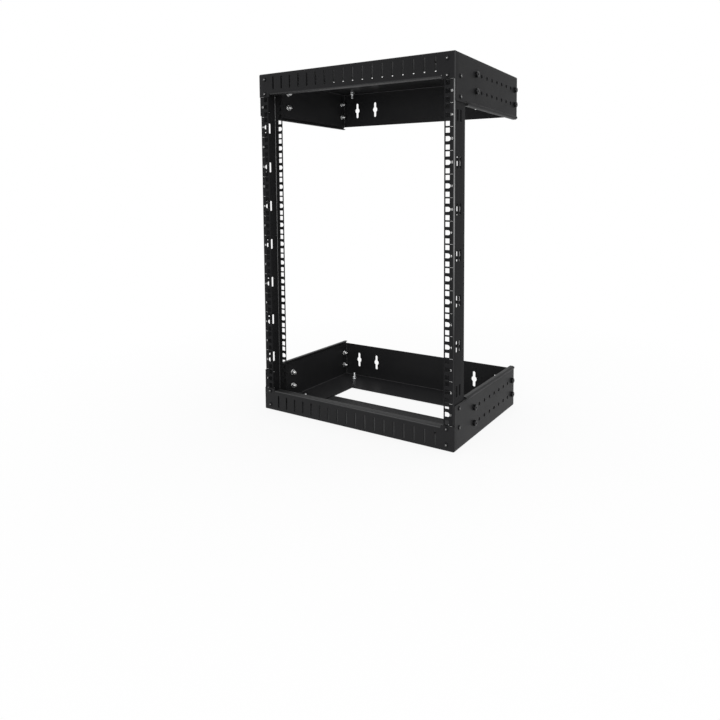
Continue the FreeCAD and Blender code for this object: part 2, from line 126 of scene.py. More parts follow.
paper = bpy.data.materials.new("white_paper")
paper.use_nodes = True
paper_nodes, paper_links = paper.node_tree.nodes, paper.node_tree.links
paper_shader = paper_nodes["Principled BSDF"]
paper_shader.inputs["Base Color"].default_value = PAPER_TONE
paper_shader.inputs["Roughness"].default_value = PAPER_ROUGH
paper_shader.inputs["Specular IOR Level"].default_value = PAPER_SHINE
away = paper_nodes.new("ShaderNodeVectorMath")
away.operation = "LENGTH"
shown = paper_nodes.new("ShaderNodeMixShader")
paper_links.new(paper_nodes.new("ShaderNodeTexCoord").outputs["Object"], away.inputs[0])
paper_links.new(ranged(paper.node_tree, away.outputs["Value"], WHITE_SHARE, FADE),
                shown.inputs["Fac"])
paper_links.new(paper_shader.outputs[0], shown.inputs[1])
paper_links.new(paper_nodes.new("ShaderNodeEmission").outputs[0], shown.inputs[2])
seen_white(paper.node_tree, shown.outputs[0], paper_shader.outputs[0],
           paper_nodes["Material Output"].inputs["Surface"])
floor_mesh = bpy.data.meshes.new("floor")
floor_mesh.from_pydata([(PAPER_HALF * x, PAPER_HALF * y, 0)
                        for x, y in ((-1, -1), (1, -1), (1, 1), (-1, 1))], [], [(0, 1, 2, 3)])
floor_mesh.materials.append(paper)
floor = bpy.data.objects.new("floor", floor_mesh)
bpy.context.scene.collection.objects.link(floor)

# Soft boxes: one in front, one on the right, a weaker one on the left, and a strong one over
# the top. The folds that face them carry the bright lines of the photograph, made brighter by the
# painted highlights on the folds.
for name, place, aim, size, power in (
        ("front_box", (0.9, -2.5, 1.4), (0, 0, 0.35), 1.6, 20),
        ("right_box", (2.7, -0.9, 0.9), (0, 0, 0.25), 1.4, 9),
        ("left_box", (-2.4, -0.9, 1.2), (0, 0, 0.4), 1.4, 6),
        ("top_box", (0.2, 0.3, 2.9), (0, 0, 0.3), 1.8, 30)):
    lamp = bpy.data.objects.new(name, bpy.data.lights.new(name, "AREA"))
    lamp.data.energy, lamp.data.size = power, size
    lamp.location = place
    lamp.rotation_euler = (Vector(aim) - lamp.location).to_track_quat("-Z", "Y").to_euler()
    bpy.context.scene.collection.objects.link(lamp)

# Front frames of the two trays: each is one sheet of steel, punched, folded and powder
# coated black. A slotted beam with a lip, a floor with two side strips, and two arms whose
# free edge is rolled a little outwards and hemmed. The top one is the bottom one turned over.
MM = 0.001


def box_in_mm(node):
    """The lowest and highest corners of a CAD node in millimetres, to the thousandth."""
    return np.round(np.array(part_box(node)) / MM, 3)


lowest, highest = box_in_mm("bottom_front_frame")
HALF, FACE, ARM = highest[0], lowest[1], highest[2]
DEPTH = round(highest[1] - FACE, 3)
TALL = box_in_mm("top_front_frame")[1][2]
GAUGE, BEND = 2.0, 3.0
COLUMN, LOW, HIGH = 232.55, 6.35, 38.1
BEAM = 51.0
BEAM_SCREWS = (BEAM - LOW, BEAM - HIGH)
LIP, LIP_TALL, LIP_DEEP, LIP_GAP = 219.0, 46.5, 16.0, 1.2
SLOT_WIDE, SLOT_LONG, SLOT_MIDDLE, SLOT_STEP, SLOT_COUNT = 4.0, 29.0, 21.7, 24.4, 18
SLOTS = SLOT_STEP * (np.arange(SLOT_COUNT) - (SLOT_COUNT - 1) / 2)
ARM_FRONT, ARM_STEP = 92.0, 47.0
HEM, HEM_START, HEM_SHORT = 10.0, 51.0, 4.0
HEM_END = DEPTH - HEM_SHORT
BEAD_OUT, BEAD_UP, BEAD_FOOT = 2.0, 1.5, 88.0
BEAD_ROWS = BEAD_FOOT + np.array((-0.4, 0, 0.15, 0.5, 1.1, 2))
ARM_SCREWS, ARM_SCREW_BACK = (44.0, 82.5), 22.0
HOLE_COUNT, HOLE_STEP, LAST_HOLE = 9, 25.4, 12.5
DEPTH_HOLES = DEPTH - LAST_HOLE - HOLE_STEP * np.arange(HOLE_COUNT - 1, -1, -1)
ROWS = (30.0, 63.0)
PAN_HOLE, BOLT_HOLE, SINK = 2.75, 3.7, 6.2
FLOOR_FRONT, STRIP = 142.0, 88.0
FLOOR_SIDE = HALF - STRIP
FLOOR_HOLE, FRONT_SCREW, REAR_SCREW = 198.0, 80.0, 31.0
FLOOR_SCREWS = (FRONT_SCREW, DEPTH - REAR_SCREW)
FLOOR_SPOTS = [(x, y) for x in (-FLOOR_HOLE, FLOOR_HOLE) for y in FLOOR_SCREWS]
RING = np.array((-1, -0.383, 0, 0.383, 1))
TURN = np.radians(np.linspace(0, 90, 6))
bend_rows = BEND * np.linspace(0, 1, 6)


def lines(*parts):
    """All the grid lines that the parts ask for, in order, each one once."""
    return np.unique(np.round(np.concatenate([np.atleast_1d(part).ravel() for part in parts]), 3))


def around(centres, radius):
    """The five grid lines of each round hole: through its middle, its two sides, and 22.5
    degrees to each side of the middle."""
    return np.add.outer(np.atleast_1d(centres), radius * RING).ravel()


def round_hole(across, along, radius):
    """A round hole: its square block of cells, and all four quarters drawn to its circle."""
    return (across - radius, across + radius, along - radius, along + radius,
            [(across, along, radius, 0, 0)])


def long_hole(across, along, width, length):
    """A slot along the second direction: a block of cells with a half circle at each end."""
    reach, radius = length / 2, width / 2
    return (across - radius, across + radius, along - reach, along + reach,
            [(across, along + reach - radius, radius, 0, 1),
             (across, along - reach + radius, radius, 0, -1)])


ON_RIM, EVEN_FROM = 0.01, 0.55


def punched(across, along, holes=(), keep=None):
    """A grid of the flat sheet with its holes. A cell is left out where its middle lies in a
    hole. A corner on the rim of a round hole goes to the circle: at a distance q (of the
    radius) from the middle of its side it goes to the angle whose sine is q, and past
    EVEN_FROM the angle grows evenly to 45 degrees at the block's corner."""
    s, t = np.meshgrid(across, along, indexing="ij")
    cell_s, cell_t = (s[1:, 1:] + s[:-1, :-1]) / 2, (t[1:, 1:] + t[:-1, :-1]) / 2
    kept = np.ones(cell_s.shape, bool) if keep is None else keep(cell_s, cell_t)
    out_s, out_t = s.copy(), t.copy()
    even = math.asin(EVEN_FROM)
    for low_s, high_s, low_t, high_t, rounds in holes:
        kept &= ~((cell_s > low_s) & (cell_s < high_s) & (cell_t > low_t) & (cell_t < high_t))
        for centre_s, centre_t, radius, half_s, half_t in rounds:
            ds, dt = s - centre_s, t - centre_t
            rim = abs(np.maximum(abs(ds), abs(dt)) - radius) < ON_RIM
            rim &= (ds * half_s > -ON_RIM) & (dt * half_t > -ON_RIM)
            share = np.minimum(abs(ds), abs(dt)) / radius
            angle = np.where(share <= EVEN_FROM, np.arcsin(np.minimum(share, EVEN_FROM)),
                             even + (share - EVEN_FROM) / (1 - EVEN_FROM) * (math.pi / 4 - even))
            near, far = radius * np.sin(angle), radius * np.cos(angle)
            side = abs(ds) >= abs(dt)
            out_s[rim] = (centre_s + np.sign(ds) * np.where(side, far, near))[rim]
            out_t[rim] = (centre_t + np.sign(dt) * np.where(side, near, far))[rim]
    return out_s, out_t, kept


def fold(t, top=None):
    """How far in and how high the sheet is at the distance t up it: a quarter circle out of
    the floor, a straight wall, and past top a second quarter circle into a level lip."""
    low = np.clip(t, 0, BEND) / BEND * math.pi / 2
    inset = BEND - BEND * np.sin(low)
    height = np.where(t < BEND, BEND - BEND * np.cos(low), t)
    if top is not None:
        over = np.clip(t - top, 0, BEND) / BEND * math.pi / 2
        inset = inset + BEND * (1 - np.cos(over)) + np.maximum(t - top - BEND, 0)
        height = np.where(t > top, top + BEND * np.sin(over), height)
    return inset, height


def bead(y, u):
    """How far the rolled edge of an arm stands out from it and up past its plain fold, only
    along the hem. Out it goes by a quarter of an ellipse, from nothing at its foot to all of
    it where the edge turns in, and up it goes evenly over the same stretch."""
    below = np.clip((ARM - BEND - u) / (ARM - BEND - BEAD_FOOT), 0, 1)
    on_hem = y >= HEM_START
    return BEAD_OUT * np.sqrt(1 - below ** 2) * on_hem, BEAD_UP * (1 - below) * on_hem


def tray_place(tray, x, y, u):
    """Points of a tray from X, the distance back from the beams' face, and the distance u
    into the rack from the tray's outer face."""
    z = u if tray == "bottom" else TALL - u
    return np.stack(np.broadcast_arrays(x, FACE + y, z), -1)


def corner(tray, side, half, middle_y, back, rows, lift=0):
    """The corner between two walls of a tray: a quarter circle about the point one bend in
    from both, whose radius is the bend's less what the fold takes in at that row."""
    angle, t = np.meshgrid(TURN, rows, indexing="ij")
    inset, height = fold(t)
    reach = BEND - inset
    return tray_place(tray, side * (half - BEND + reach * np.sin(angle)),
                      middle_y + back * reach * np.cos(angle), height + lift)


def whole(place, turned_round=False):
    """A grid of a piece with all of its cells."""
    return place, np.ones((place.shape[0] - 1, place.shape[1] - 1), bool), turned_round


WELD_DIGITS, WELD_SHIFT = 2, 0.00137


def welded(grids, swap=False):
    """The points and faces of several grids as one mesh. Points in the same hundredth of a
    millimetre become one, where the shift keeps round sizes off the edge between two. A face
    that loses a corner so is a triangle, and swap turns every face round."""
    points, faces, count = [], [], 0
    for place, kept, turned_round in grids:
        index = np.arange(place.shape[0] * place.shape[1]).reshape(place.shape[:2]) + count
        count += index.size
        quads = np.stack((index[:-1, :-1], index[1:, :-1], index[1:, 1:], index[:-1, 1:]), -1)[kept]
        faces.append(quads[:, ::-1] if turned_round != swap else quads)
        points.append(place.reshape(-1, 3))
    points, faces = np.concatenate(points), np.concatenate(faces)
    first, number = np.unique(np.round(points + WELD_SHIFT, WELD_DIGITS), axis=0,
                              return_index=True, return_inverse=True)[1:]
    used, renamed = np.unique(number.reshape(-1)[faces], return_inverse=True)
    faces = renamed.reshape(-1, 4)
    lost = faces == np.roll(faces, 1, axis=1)
    quads = faces[lost.sum(1) == 0]
    triangles = faces[lost.sum(1) == 1][~lost[lost.sum(1) == 1]].reshape(-1, 3)
    return points[first][used], quads.tolist() + triangles.tolist()


def make_piece(name, points, faces, paint, stands_for):
    """A piece from its points in millimetres, smooth shaded, riding on the rack."""
    mesh = bpy.data.meshes.new(name)
    mesh.from_pydata((points * MM).tolist(), [], faces)
    mesh.shade_smooth()
    mesh.materials.append(paint)
    piece = bpy.data.objects.new(name, mesh)
    bpy.context.scene.collection.objects.link(piece)
    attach(piece, "root")
    if stands_for:
        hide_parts(*stands_for)
    return piece


EDGE, EDGE_STEPS, EDGE_ANGLE = 0.35, 2, math.radians(50)


def sheet_steel(piece):
    """Gives a folded surface its 2 mm of steel, inwards, and breaks its cut edges."""
    steel = piece.modifiers.new("steel", "SOLIDIFY")
    steel.thickness, steel.offset = GAUGE * MM, -1
    steel.use_even_offset = True
    edges = piece.modifiers.new("edges", "BEVEL")
    edges.width, edges.segments = EDGE * MM, EDGE_STEPS
    edges.limit_method, edges.angle_limit = "ANGLE", EDGE_ANGLE
    edges.use_clamp_overlap = False
    edges.harden_normals = True


MIDWAY = 0.29


def paint_fold_highlights(piece, points, share):
    """Writes how far each point lies on a fold: 0 where its normal is along an axis, 1 where
    it is midway between two, so that its largest part is MIDWAY short of 1. That goes times
    the share that the rule gives. That much of a pale tone is painted there: a painted highlight of
    the fold."""
    normals = np.empty(points.size)
    piece.data.vertices.foreach_get("normal", normals)
    normals = normals.reshape(-1, 3)
    on_fold = np.clip((1 - abs(normals).max(axis=1)) / MIDWAY, 0, 1)
    painted_fold_highlight = piece.data.attributes.new("painted_fold_highlight", "FLOAT", "POINT")
    painted_fold_highlight.data.foreach_set("value", (on_fold * share(points, normals)).astype(np.float32))


def noise(tree, scale, detail=2):
    """A noise that is fixed to the piece, with its scale in patches to the metre."""
    pattern = tree.nodes.new("ShaderNodeTexNoise")
    pattern.inputs["Scale"].default_value = scale
    pattern.inputs["Detail"].default_value = detail
    where = tree.nodes.new("ShaderNodeTexCoord").outputs["Object"]
    tree.links.new(where, pattern.inputs["Vector"])
    return pattern.outputs["Fac"]


def carried(tree, name):
    """The value that each point of the piece carries under a name."""
    attribute = tree.nodes.new("ShaderNodeAttribute")
    attribute.attribute_name = name
    return attribute.outputs["Fac"]


def mixed(tree, share, first, second):
    """A colour between two, by the second one's share. The first may be another node's."""
    mix = tree.nodes.new("ShaderNodeMixRGB")
    tree.links.new(share, mix.inputs["Fac"])
    if isinstance(first, tuple):
        mix.inputs["Color1"].default_value = first + (1,)
    else:
        tree.links.new(first, mix.inputs["Color1"])
    mix.inputs["Color2"].default_value = second + (1,)
    return mix.outputs["Color"]


def shade(colour, factor):
    """A colour made lighter or darker by a factor."""
    return tuple(part * factor for part in colour)


# The second colour is the pale tone painted on the folds as a highlight.
BLACK, FOLD_HIGHLIGHT_TONE, ROUGH = (0.0175, 0.0175, 0.0183), (0.6, 0.6, 0.602), 0.4
CLOUD, PEBBLE = (14, 3), (900, 2)
# The pebble noise also raises the skin, so these factors paint shade into its dips and highlight onto
# its crests.
PEBBLE_DIP_SHADE, PEBBLE_CREST_HIGHLIGHT = 0.82, 1.25
# How unevenly the painted fold highlight lies: the cloud's range and the share it gives there.
HIGHLIGHT_CLOUD, HIGHLIGHT_UNEVEN = (0.3, 0.7), (0.7, 1.0)
GLOSSIER, DULLER = 0.06, 0.08
SKIN_STRENGTH, SKIN_HIGH = 0.25, 0.0002


def powder(name, shine):
    """Powder coat: an even dark film whose skin is finely pebbled, painted a little darker in
    the dips and lighter on the crests as shade and highlight, with a slow cloudy change of gloss
    over the sheet. A point attribute paints a pale highlight on the folds, unevenly."""
    paint = bpy.data.materials.new(name)
    paint.use_nodes = True
    tree = paint.node_tree
    shader = tree.nodes["Principled BSDF"]
    cloud, pebble = noise(tree, *CLOUD), noise(tree, *PEBBLE)
    # The share of painted fold highlight at each point, broken up by the cloud.
    highlight_share = tree.nodes.new("ShaderNodeMath")
    highlight_share.operation = "MULTIPLY"
    tree.links.new(ranged(tree, cloud, HIGHLIGHT_UNEVEN, HIGHLIGHT_CLOUD), highlight_share.inputs[0])
    tree.links.new(carried(tree, "painted_fold_highlight"), highlight_share.inputs[1])
    film = mixed(tree, pebble, shade(BLACK, PEBBLE_DIP_SHADE), shade(BLACK, PEBBLE_CREST_HIGHLIGHT))
    gloss = ranged(tree, cloud, (ROUGH - GLOSSIER, ROUGH + DULLER))
    skin = tree.nodes.new("ShaderNodeBump")
    skin.inputs["Strength"].default_value = SKIN_STRENGTH
    skin.inputs["Distance"].default_value = SKIN_HIGH
    tree.links.new(pebble, skin.inputs["Height"])
    tree.links.new(mixed(tree, highlight_share.outputs[0], film, FOLD_HIGHLIGHT_TONE), shader.inputs["Base Color"])
    tree.links.new(gloss, shader.inputs["Roughness"])
    tree.links.new(skin.outputs["Normal"], shader.inputs["Normal"])
    shader.inputs["Specular IOR Level"].default_value = shine
    return paint


black_coat = powder("black_powder_coat", shine=0.1)
# The top front frame gets a copy of the same coat with less shine, so that it renders darker: painted
# shade.
shaded_top_coat = powder("shaded_copy_black_powder_coat", shine=0.045)
# Shares of painted highlight on the front frames' folds, and how far up a normal must point to count
# as facing up.
LIP_HIGHLIGHT, TOP_HIGHLIGHT, FACES_UP = 0.17, 0.1, 0.1


def tray_highlight(tray):
    """The share of painted highlight on a front frame's folds: on the lip's fold of the bottom
    one, and on the folds of the top one that face forwards, sideways or down."""
    if tray == "bottom":
        return lambda points, normals: (LIP_HIGHLIGHT * (normals[:, 2] > FACES_UP)
                                        * (abs(points[:, 0]) <= LIP))
    return lambda points, normals: TOP_HIGHLIGHT * (normals[:, 2] < FACES_UP)


beam_x = lines(-HALF + BEND, HALF - BEND, (-LIP, LIP), (-LIP - LIP_GAP, LIP + LIP_GAP),
               around(SLOTS, SLOT_WIDE / 2), around((-COLUMN, COLUMN), PAN_HOLE),
               around((-FLOOR_HOLE, FLOOR_HOLE), SINK), (-FLOOR_SIDE, FLOOR_SIDE))
arm_y = lines(BEND, DEPTH, ARM_STEP, HEM_START, HEM_END, around(ARM_SCREW_BACK, PAN_HOLE),
              around(DEPTH_HOLES, BOLT_HOLE), FLOOR_FRONT, around(FLOOR_SCREWS, SINK), LIP_DEEP)
slot_ends = (SLOT_MIDDLE + (SLOT_LONG - SLOT_WIDE) / 2, SLOT_MIDDLE - (SLOT_LONG - SLOT_WIDE) / 2)
wall_u = lines(bend_rows, LIP_TALL - BEND, BEAM, around(slot_ends, SLOT_WIDE / 2),
               around(BEAM_SCREWS, PAN_HOLE), around(ROWS, BOLT_HOLE),
               around(ARM_SCREWS, PAN_HOLE), ARM_FRONT, ARM - BEND, BEAD_ROWS)
beam_u = wall_u[wall_u <= BEAM]
beam_holes = [long_hole(x, SLOT_MIDDLE, SLOT_WIDE, SLOT_LONG) for x in SLOTS]
beam_holes += [round_hole(x, u, PAN_HOLE) for x in (-COLUMN, COLUMN) for u in BEAM_SCREWS]
arm_holes = [round_hole(y, u, BOLT_HOLE) for y in DEPTH_HOLES for u in ROWS]
arm_holes += [round_hole(ARM_SCREW_BACK, u, PAN_HOLE) for u in ARM_SCREWS]
beam_sheet = punched(beam_x, beam_u, beam_holes,
                     lambda x, u: (abs(x) > LIP + LIP_GAP) | (u < LIP_TALL - BEND))
lip_sheet = punched(beam_x[abs(beam_x) <= LIP],
                    lines(LIP_TALL - BEND + bend_rows, LIP_TALL + LIP_DEEP - BEND))
arm_sheet = punched(arm_y, wall_u, arm_holes, lambda y, u: (u < ARM - BEND) | (y < ARM_STEP))
hem_sheet = punched(arm_y[(arm_y >= HEM_START) & (arm_y <= HEM_END)],
                    lines(ARM - BEND + bend_rows, ARM + HEM - BEND))
floor_sheet = punched(beam_x, arm_y, [round_hole(x, y, SINK) for x, y in FLOOR_SPOTS],
                      lambda x, y: (y < FLOOR_FRONT) | (abs(x) > FLOOR_SIDE))
for tray in ("bottom", "top"):
    grids = []
    for (s, t, kept), top in ((beam_sheet, None), (lip_sheet, LIP_TALL - BEND)):
        inset, height = fold(t, top)
        grids.append((tray_place(tray, s, inset, height), kept, False))
    for side in (-1, 1):
        for (s, t, kept), top in ((arm_sheet, None), (hem_sheet, ARM - BEND)):
            inset, height = fold(t, top)
            out, raised = bead(s, t)
            grids.append((tray_place(tray, side * (HALF - inset + out), s, height + raised),
                          kept, side < 0))
        grids.append(whole(corner(tray, side, HALF, BEND, -1, beam_u), side < 0))
    s, t, kept = floor_sheet
    grids.append((tray_place(tray, s, t, 0), kept, True))
    points, faces = welded(grids, swap=tray == "top")
    piece = make_piece("front_frame_" + tray, points, faces,
                       black_coat if tray == "bottom" else shaded_top_coat,
                       [tray + "_front_frame"])
    paint_fold_highlights(piece, points, tray_highlight(tray))
    sheet_steel(piece)

# Rear frames of the two trays: one folded sheet each, which slides inside its front
# frame. A wall plate with four keyholes, a floor, and two plain inner arms with holes
# only for the depth bolts, which go through any pair of the front frame's holes.
lowest, highest = box_in_mm("bottom_rear_frame")
INNER, PLATE = highest[0], highest[2]
INNER_FRONT = round(lowest[1] - FACE, 3)
# The second number is the share of painted highlight on every fold of a rear frame.
REAR_FLOOR, REAR_HIGHLIGHT = 93.0, 0.2
KEYHOLES = (-203.2, -146.0, 146.0, 203.2)
KEY_BORE, KEY_SLOT, KEY_LONG, KEY_MIDDLE = 7.0, 7.0, 38.0, 47.5
KEY_UP = KEY_MIDDLE - GAUGE
BOLT_BACKS = DEPTH_HOLES[[0, -1]]
BOLT_SPOTS = [(y, u) for y in BOLT_BACKS for u in ROWS]

# The heights t of this sheet start at its own floor, one gauge up in the tray, and its
# distances v run forwards from the wall face.
plate_x = lines(-INNER + BEND, INNER - BEND, (-FLOOR_SIDE, FLOOR_SIDE),
                around(KEYHOLES, KEY_BORE), around(KEYHOLES, KEY_SLOT / 2),
                around((-FLOOR_HOLE, FLOOR_HOLE), BOLT_HOLE))
inner_v = lines(BEND, DEPTH - INNER_FRONT, REAR_FLOOR, around(DEPTH - BOLT_BACKS, BOLT_HOLE),
                around(DEPTH - np.array(FLOOR_SCREWS), BOLT_HOLE))
key_ends = (KEY_UP + (KEY_LONG - KEY_SLOT) / 2, KEY_UP - (KEY_LONG - KEY_SLOT) / 2)
inner_t = lines(bend_rows, around(KEY_UP, KEY_BORE), around(key_ends, KEY_SLOT / 2),
                around(np.array(ROWS) - GAUGE, BOLT_HOLE), PLATE - GAUGE)
key_holes = [round_hole(x, KEY_UP, KEY_BORE) for x in KEYHOLES]
key_holes += [long_hole(x, KEY_UP, KEY_SLOT, KEY_LONG) for x in KEYHOLES]
plate_sheet = punched(plate_x, inner_t, key_holes)
inner_sheet = punched(inner_v, inner_t,
                      [round_hole(DEPTH - y, u - GAUGE, BOLT_HOLE) for y, u in BOLT_SPOTS])
rear_floor_sheet = punched(plate_x, inner_v,
                           [round_hole(x, DEPTH - y, BOLT_HOLE) for x, y in FLOOR_SPOTS],
                           lambda x, v: (v < REAR_FLOOR) | (abs(x) > FLOOR_SIDE))
for tray in ("bottom", "top"):
    s, t, kept = plate_sheet
    inset, height = fold(t)
    grids = [(tray_place(tray, s, DEPTH - inset, height + GAUGE), kept, False)]
    for side in (-1, 1):
        s, t, kept = inner_sheet
        inset, height = fold(t)
        grids.append((tray_place(tray, side * (INNER - inset), DEPTH - s, height + GAUGE), kept,
                      side < 0))
        grids.append(whole(corner(tray, side, INNER, DEPTH - BEND, 1, inner_t, GAUGE), side < 0))
    s, t, kept = rear_floor_sheet
    grids.append((tray_place(tray, s, DEPTH - t, GAUGE), kept, True))
    points, faces = welded(grids, swap=tray == "bottom")
    piece = make_piece("rear_frame_" + tray, points, faces, black_coat,
                       [tray + "_rear_frame"])
    paint_fold_highlights(piece, points, lambda points, normals: REAR_HIGHLIGHT)
    sheet_steel(piece)

# Rails: one sheet each, folded to a C that opens inwards. Both flanges have three square
# holes in each unit, the middle one with a rounded side, and the web has pairs of slots.
# A rail stands behind the beams and is screwed to them and to the arms.
lowest, highest = box_in_mm("right_rail_front_flange")
RAIL_IN, RAIL_FRONT = lowest[0], round(lowest[1] - FACE, 3)
RAIL_OUT = box_in_mm("right_rail_web")[1][0]
RAIL_BACK = round(box_in_mm("right_rail_rear_flange")[1][1] - FACE, 3)
UNIT, UNITS, MIDDLE = 44.45, 15, 22.225
SQUARE, LOBE = 9.5, 1.6
HALF_SQUARE = SQUARE / 2
WEB_SLOTS, WEB_SLOT_WIDE, WEB_SLOT_LONG, WEB_CORNER = (14.0, 27.4), 6.5, 22.4, 1.5
FIRST_SLOT_UNIT, SLOT_UNITS, SLOT_ROWS = 1.5, 2, 7
HANDS = ((-1, "left"), (1, "right"))
slot_z = BEAM + UNIT * (FIRST_SLOT_UNIT + SLOT_UNITS * np.arange(SLOT_ROWS))
slot_reach = WEB_SLOT_LONG / 2 - WEB_CORNER
unit_z = BEAM + UNIT * np.arange(UNITS)
arm_screw_z = np.concatenate([(u, TALL - u) for u in ARM_SCREWS])
beam_screw_z = np.concatenate([(u, TALL - u) for u in BEAM_SCREWS])
square_z = np.concatenate((unit_z + LOW, unit_z + HIGH))
rail_z = lines(GAUGE, TALL - GAUGE, around(unit_z + MIDDLE, HALF_SQUARE),
               square_z - HALF_SQUARE, square_z + HALF_SQUARE,
               around(slot_z + slot_reach, WEB_CORNER), around(slot_z - slot_reach, WEB_CORNER),
               around(arm_screw_z, PAN_HOLE), around(beam_screw_z, PAN_HOLE))
front_x = lines(RAIL_IN, RAIL_OUT - BEND, COLUMN - HALF_SQUARE, COLUMN + HALF_SQUARE,
                around(COLUMN + LOBE, HALF_SQUARE)[2:], around(COLUMN, PAN_HOLE))
back_x = lines(RAIL_IN, RAIL_OUT - BEND, COLUMN - HALF_SQUARE, COLUMN + HALF_SQUARE,
               around(COLUMN - LOBE, HALF_SQUARE)[:3])
web_y = lines(RAIL_FRONT + BEND, RAIL_BACK - BEND, around(ARM_SCREW_BACK, PAN_HOLE),
              *[around(y + end * (WEB_SLOT_WIDE / 2 - WEB_CORNER), WEB_CORNER)
                for y in WEB_SLOTS for end in (-1, 1)])


def web_slot(y, z):
    """A slot of the web with small rounded corners."""
    wide, tall = WEB_SLOT_WIDE / 2, WEB_SLOT_LONG / 2
    return (y - wide, y + wide, z - tall, z + tall,
            [(y + a * (wide - WEB_CORNER), z + b * (tall - WEB_CORNER), WEB_CORNER, a, b)
             for a in (-1, 1) for b in (-1, 1)])


def square_holes(lobe):
    """The square holes of a flange, the middle one of each unit with a half circle on the
    side that lobe names."""
    holes = [(COLUMN - HALF_SQUARE, COLUMN + HALF_SQUARE, z - HALF_SQUARE, z + HALF_SQUARE, [])
             for z in square_z]
    for z in unit_z + MIDDLE:
        centre = COLUMN + lobe * LOBE
        ends = sorted((COLUMN - lobe * HALF_SQUARE, centre + lobe * HALF_SQUARE))
        holes.append((ends[0], ends[1], z - HALF_SQUARE, z + HALF_SQUARE,
                      [(centre, z, HALF_SQUARE, lobe, 0)]))
    return holes


def rail_place(side, x, y, z):
    """Points of a rail from the distance to the middle plane, the distance back from the
    beams' face, and Z."""
    return np.stack(np.broadcast_arrays(side * x, FACE + y, z), -1)


# Heights in millimetres, and the share of painted highlight on a rail's bend at each of them.
HIGHLIGHT_HEIGHTS = {"right": (200, 450), "left": (100, 400)}
HIGHLIGHT_SHARES = {"right": (0.05, 0.8), "left": (0.4, 1.0)}


def rail_highlight(hand):
    """The share of painted highlight on a rail, which grows with the height: on the front bend
    of the right one, and on the rear bend of the left one."""
    def share(points, normals):
        back = points[:, 1] - FACE
        on_bend = back < RAIL_FRONT + BEND if hand == "right" else back > RAIL_BACK - BEND
        return np.interp(points[:, 2], HIGHLIGHT_HEIGHTS[hand], HIGHLIGHT_SHARES[hand]) * on_bend
    return share


rail_coat = powder("rail_powder_coat", shine=0.02)
front_sheet = punched(front_x, rail_z, square_holes(1)
                      + [round_hole(COLUMN, z, PAN_HOLE) for z in beam_screw_z])
web_sheet = punched(web_y, rail_z, [web_slot(y, z) for y in WEB_SLOTS for z in slot_z]
                    + [round_hole(ARM_SCREW_BACK, z, PAN_HOLE) for z in arm_screw_z])
back_sheet = punched(back_x, rail_z, square_holes(-1))
bend_angle, bend_z = np.meshgrid(TURN, rail_z, indexing="ij")
bend_x = RAIL_OUT - BEND + BEND * np.sin(bend_angle)
bend_y = BEND - BEND * np.cos(bend_angle)
for side, hand in HANDS:
    s, t, kept = front_sheet
    grids = [(rail_place(side, s, RAIL_FRONT, t), kept, False)]
    s, t, kept = web_sheet
    grids.append((rail_place(side, RAIL_OUT, s, t), kept, False))
    s, t, kept = back_sheet
    grids.append((rail_place(side, s, RAIL_BACK, t), kept, True))
    grids.append(whole(rail_place(side, bend_x, RAIL_FRONT + bend_y, bend_z)))
    grids.append(whole(rail_place(side, bend_x, RAIL_BACK - bend_y, bend_z), True))
    points, faces = welded(grids, swap=side < 0)
    piece = make_piece("rail_" + hand, points, faces, rail_coat,
                       ["%s_rail_%s" % (hand, part)
                        for part in ("front_flange", "web", "rear_flange")])
    paint_fold_highlights(piece, points, rail_highlight(hand))
    sheet_steel(piece)

# Depth bolts: button head screws with a hexagon socket, pushed in from outside through the
# arms of both frames of a tray. The head is black and the thread shows bright inside.
ROUND = np.linspace(0, 2 * math.pi, 25)[:, None]
PITCH, PITCH_STEPS, CREST, ROOT = 1.0, 7, 3.0, 2.55
SHANK, THREAD_LONG, TIP, TIP_RADIUS = 16.0, 10.5, 0.5, 2.1
HEAD, HEAD_HIGH, HEAD_EDGE, HEAD_DROP, HEAD_ROUND = 6.2, 4.0, 0.4, 1.6, 1.7
SOCKET, SOCKET_DEEP, SOCKET_POINT, SOCKET_CORNER = 2.0, 2.2, 0.6, 1.1
WASHER_HIGH = 1.2
SHARP = math.radians(38)


def hexagon(angle, flat):
    """The radius of a hexagon: the distance to its flat over the cosine of the angle from
    that flat's middle."""
    return flat / np.cos(angle % (math.pi / 3) - math.pi / 6)


def thread(length, angle, start):
    """Heights and radii of a screw thread on a grid of angle by height: the radius goes
    between root and crest as a wave that climbs one pitch in each turn."""
    height = np.linspace(start, start + length, int(length / PITCH * PITCH_STEPS) + 1)[None, :]
    wave = 0.5 + 0.5 * np.cos(2 * math.pi * height / PITCH - angle)
    return height + 0 * angle, ROOT + (CREST - ROOT) * wave


def turned(angle, *bands):
    """Heights and radii of a round part, its bands side by side. A band is a pair of heights
    and radii, and a radius may change with the angle."""
    heights = [np.broadcast_to(band[0], (len(angle), np.shape(band[0])[-1])) for band in bands]
    radii = [np.broadcast_to(band[1], (len(angle), np.shape(band[1])[-1])) for band in bands]
    return angle, np.hstack(heights), np.hstack(radii)


def placed(form, centre, outward):
    """A grid of a round part in its place: up its axis by the height, and round the axis by
    the angle at the radius."""
    angle, height, radius = form
    outward = np.array(outward, float)
    first = np.array((0, 0, 1.0)) if outward[2] == 0 else np.array((0, 1.0, 0))
    second = np.cross(outward, first)
    return whole(np.reshape(centre, 3) + height[..., None] * outward
                 + (radius * np.cos(angle))[..., None] * first
                 + (radius * np.sin(angle))[..., None] * second)


